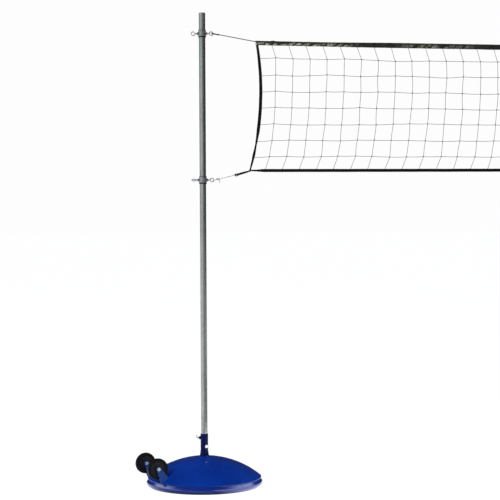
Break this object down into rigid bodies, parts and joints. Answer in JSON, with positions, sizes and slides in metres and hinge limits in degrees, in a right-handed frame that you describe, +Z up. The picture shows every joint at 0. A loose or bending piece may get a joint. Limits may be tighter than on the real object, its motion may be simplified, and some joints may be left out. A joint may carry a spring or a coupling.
{
  "type": "volleyball net on poles",
  "caption": "Volleyball net with taped edges, held at adjustable height between galvanised posts on wheeled, ballasted dome bases.",
  "frame": {"origin": "on the floor midway between the two posts", "axes": "+X along the net towards the right post, +Y away from the front side, +Z up"},
  "size_m": [11.09, 0.641, 2.59],
  "materials": {
    "galvanised": "hot-dip galvanised tube, faint spangle",
    "blue_paint": "gloss royal-blue enamel",
    "socket_paint": "dark navy gloss enamel",
    "fork_paint": "lighter blue gloss enamel",
    "bolt_zinc": "bright zinc plate",
    "wheel_tyre": "smooth black rubber",
    "wheel_hub": "black moulded plastic",
    "concrete": "cast concrete",
    "foot_rubber": "black floor ring",
    "net_cord": "knotted grey twine",
    "head_tape": "black headband with pale lacing",
    "edge_tape": "black woven webbing",
    "cable": "grey coated line",
    "black_sleeve": "black crimped sleeve",
    "tie_line": "pale braided cord"
  },
  "bodies": {
    "bases": {"left_base_pan": "blue_paint", "left_base_dome": "blue_paint", "left_ballast": "concrete", "left_floor_ring": "foot_rubber", "left_socket_tube": "socket_paint", "left_socket_collar": "socket_paint", "left_socket_lock_nut": "socket_paint", "left_socket_set_bolt": "bolt_zinc", "left_wheel_forks": "fork_paint", "left_wheel_axle_bolts": "bolt_zinc", "left_wheel_axle_nuts": "bolt_zinc", "right_base_pan": "blue_paint", "right_base_dome": "blue_paint", "right_ballast": "concrete", "right_floor_ring": "foot_rubber", "right_socket_tube": "socket_paint", "right_socket_collar": "socket_paint", "right_socket_lock_nut": "socket_paint", "right_socket_set_bolt": "bolt_zinc", "right_wheel_forks": "fork_paint", "right_wheel_axle_bolts": "bolt_zinc", "right_wheel_axle_nuts": "bolt_zinc"},
    "net": {"netting": "net_cord", "top_tape": "head_tape", "bottom_tape": "edge_tape", "headline": "cable", "headline_sleeves": "black_sleeve", "left_side_tape": "edge_tape", "right_side_tape": "edge_tape", "left_tie_cord": "tie_line", "right_tie_cord": "tie_line", "left_tie_knots": "tie_line", "right_tie_knots": "tie_line", "left_corner_strap": "edge_tape", "right_corner_strap": "edge_tape"},
    "left_post": {"left_post": "galvanised"},
    "left_upper_collar": {"left_upper_collar": "galvanised"},
    "left_upper_net_eyebolt": {"left_upper_net_eyebolt": "bolt_zinc"},
    "left_upper_free_eyebolt": {"left_upper_free_eyebolt": "bolt_zinc"},
    "left_lower_collar": {"left_lower_collar": "galvanised"},
    "left_lower_net_eyebolt": {"left_lower_net_eyebolt": "bolt_zinc"},
    "left_lower_free_eyebolt": {"left_lower_free_eyebolt": "bolt_zinc"},
    "left_front_wheel": {"left_front_wheel_tyre": "wheel_tyre", "left_front_wheel_hub": "wheel_hub"},
    "left_back_wheel": {"left_back_wheel_tyre": "wheel_tyre", "left_back_wheel_hub": "wheel_hub"},
    "left_lock_screw": {"left_socket_lock_screw": "bolt_zinc"},
    "right_post": {"right_post": "galvanised"},
    "right_upper_collar": {"right_upper_collar": "galvanised"},
    "right_upper_net_eyebolt": {"right_upper_net_eyebolt": "bolt_zinc"},
    "right_upper_free_eyebolt": {"right_upper_free_eyebolt": "bolt_zinc"},
    "right_lower_collar": {"right_lower_collar": "galvanised"},
    "right_lower_net_eyebolt": {"right_lower_net_eyebolt": "bolt_zinc"},
    "right_lower_free_eyebolt": {"right_lower_free_eyebolt": "bolt_zinc"},
    "right_front_wheel": {"right_front_wheel_tyre": "wheel_tyre", "right_front_wheel_hub": "wheel_hub"},
    "right_back_wheel": {"right_back_wheel_tyre": "wheel_tyre", "right_back_wheel_hub": "wheel_hub"},
    "right_lock_screw": {"right_socket_lock_screw": "bolt_zinc"}
  },
  "joints": [
    {"name": "left_post_lift", "type": "slide", "parent": "bases", "child": "left_post", "axis": [0, 0, 1], "range_m": [0, 0.27]},
    {"name": "right_post_lift", "type": "slide", "parent": "bases", "child": "right_post", "axis": [0, 0, 1], "range_m": [0, 0.27]},
    {"name": "net_height", "type": "slide", "parent": "left_post", "child": "net", "axis": [0, 0, 1], "range_m": [-1.35, 0.09]},
    {"name": "left_upper_collar_slide", "type": "slide", "parent": "left_post", "child": "left_upper_collar", "axis": [0, 0, 1], "range_m": [-1.35, 0.09]},
    {"name": "left_upper_free_eyebolt_turn", "type": "hinge", "parent": "left_upper_collar", "child": "left_upper_free_eyebolt", "pos_m": [-5.197, 0, 2.476], "axis": [-1, 0, 0], "continuous": true},
    {"name": "left_upper_net_eyebolt_turn", "type": "hinge", "parent": "left_upper_collar", "child": "left_upper_net_eyebolt", "pos_m": [-5.137, 0, 2.476], "axis": [1, 0, 0], "range_deg": [-20, 20]},
    {"name": "left_lower_collar_slide", "type": "slide", "parent": "left_post", "child": "left_lower_collar", "axis": [0, 0, 1], "range_m": [-1.35, 0.09]},
    {"name": "left_lower_free_eyebolt_turn", "type": "hinge", "parent": "left_lower_collar", "child": "left_lower_free_eyebolt", "pos_m": [-5.197, 0, 1.6755], "axis": [-1, 0, 0], "continuous": true},
    {"name": "left_lower_net_eyebolt_turn", "type": "hinge", "parent": "left_lower_collar", "child": "left_lower_net_eyebolt", "pos_m": [-5.137, 0, 1.6755], "axis": [1, 0, 0], "range_deg": [-20, 20]},
    {"name": "left_lock_screw_turn", "type": "hinge", "parent": "bases", "child": "left_lock_screw", "pos_m": [-5.197, 0, 0.259], "axis": [-1, 0, 0], "continuous": true},
    {"name": "left_front_wheel_spin", "type": "hinge", "parent": "bases", "child": "left_front_wheel", "pos_m": [-5.41101, -0.21291, 0.1235], "axis": [0.3746, -0.9272, 0], "continuous": true},
    {"name": "left_back_wheel_spin", "type": "hinge", "parent": "bases", "child": "left_back_wheel", "pos_m": [-5.49043, -0.01635, 0.1235], "axis": [0.3746, -0.9272, 0], "continuous": true},
    {"name": "right_upper_collar_slide", "type": "slide", "parent": "right_post", "child": "right_upper_collar", "axis": [0, 0, 1], "range_m": [-1.35, 0.09]},
    {"name": "right_upper_free_eyebolt_turn", "type": "hinge", "parent": "right_upper_collar", "child": "right_upper_free_eyebolt", "pos_m": [5.197, 0, 2.476], "axis": [1, 0, 0], "continuous": true},
    {"name": "right_upper_net_eyebolt_turn", "type": "hinge", "parent": "right_upper_collar", "child": "right_upper_net_eyebolt", "pos_m": [5.137, 0, 2.476], "axis": [-1, 0, 0], "range_deg": [-20, 20]},
    {"name": "right_lower_collar_slide", "type": "slide", "parent": "right_post", "child": "right_lower_collar", "axis": [0, 0, 1], "range_m": [-1.35, 0.09]},
    {"name": "right_lower_free_eyebolt_turn", "type": "hinge", "parent": "right_lower_collar", "child": "right_lower_free_eyebolt", "pos_m": [5.197, 0, 1.6755], "axis": [1, 0, 0], "continuous": true},
    {"name": "right_lower_net_eyebolt_turn", "type": "hinge", "parent": "right_lower_collar", "child": "right_lower_net_eyebolt", "pos_m": [5.137, 0, 1.6755], "axis": [-1, 0, 0], "range_deg": [-20, 20]},
    {"name": "right_lock_screw_turn", "type": "hinge", "parent": "bases", "child": "right_lock_screw", "pos_m": [5.197, 0, 0.259], "axis": [1, 0, 0], "continuous": true},
    {"name": "right_front_wheel_spin", "type": "hinge", "parent": "bases", "child": "right_front_wheel", "pos_m": [5.41101, 0.21291, 0.1235], "axis": [-0.3746, 0.9272, 0], "continuous": true},
    {"name": "right_back_wheel_spin", "type": "hinge", "parent": "bases", "child": "right_back_wheel", "pos_m": [5.49043, 0.01635, 0.1235], "axis": [-0.3746, 0.9272, 0], "continuous": true}
  ],
  "couplings": [
    {"joint": "right_post_lift", "follows": "left_post_lift", "ratio": 1},
    {"joint": "left_upper_collar_slide", "follows": "net_height", "ratio": 1},
    {"joint": "left_lower_collar_slide", "follows": "net_height", "ratio": 1},
    {"joint": "right_upper_collar_slide", "follows": "net_height", "ratio": 1},
    {"joint": "right_lower_collar_slide", "follows": "net_height", "ratio": 1}
  ]
}
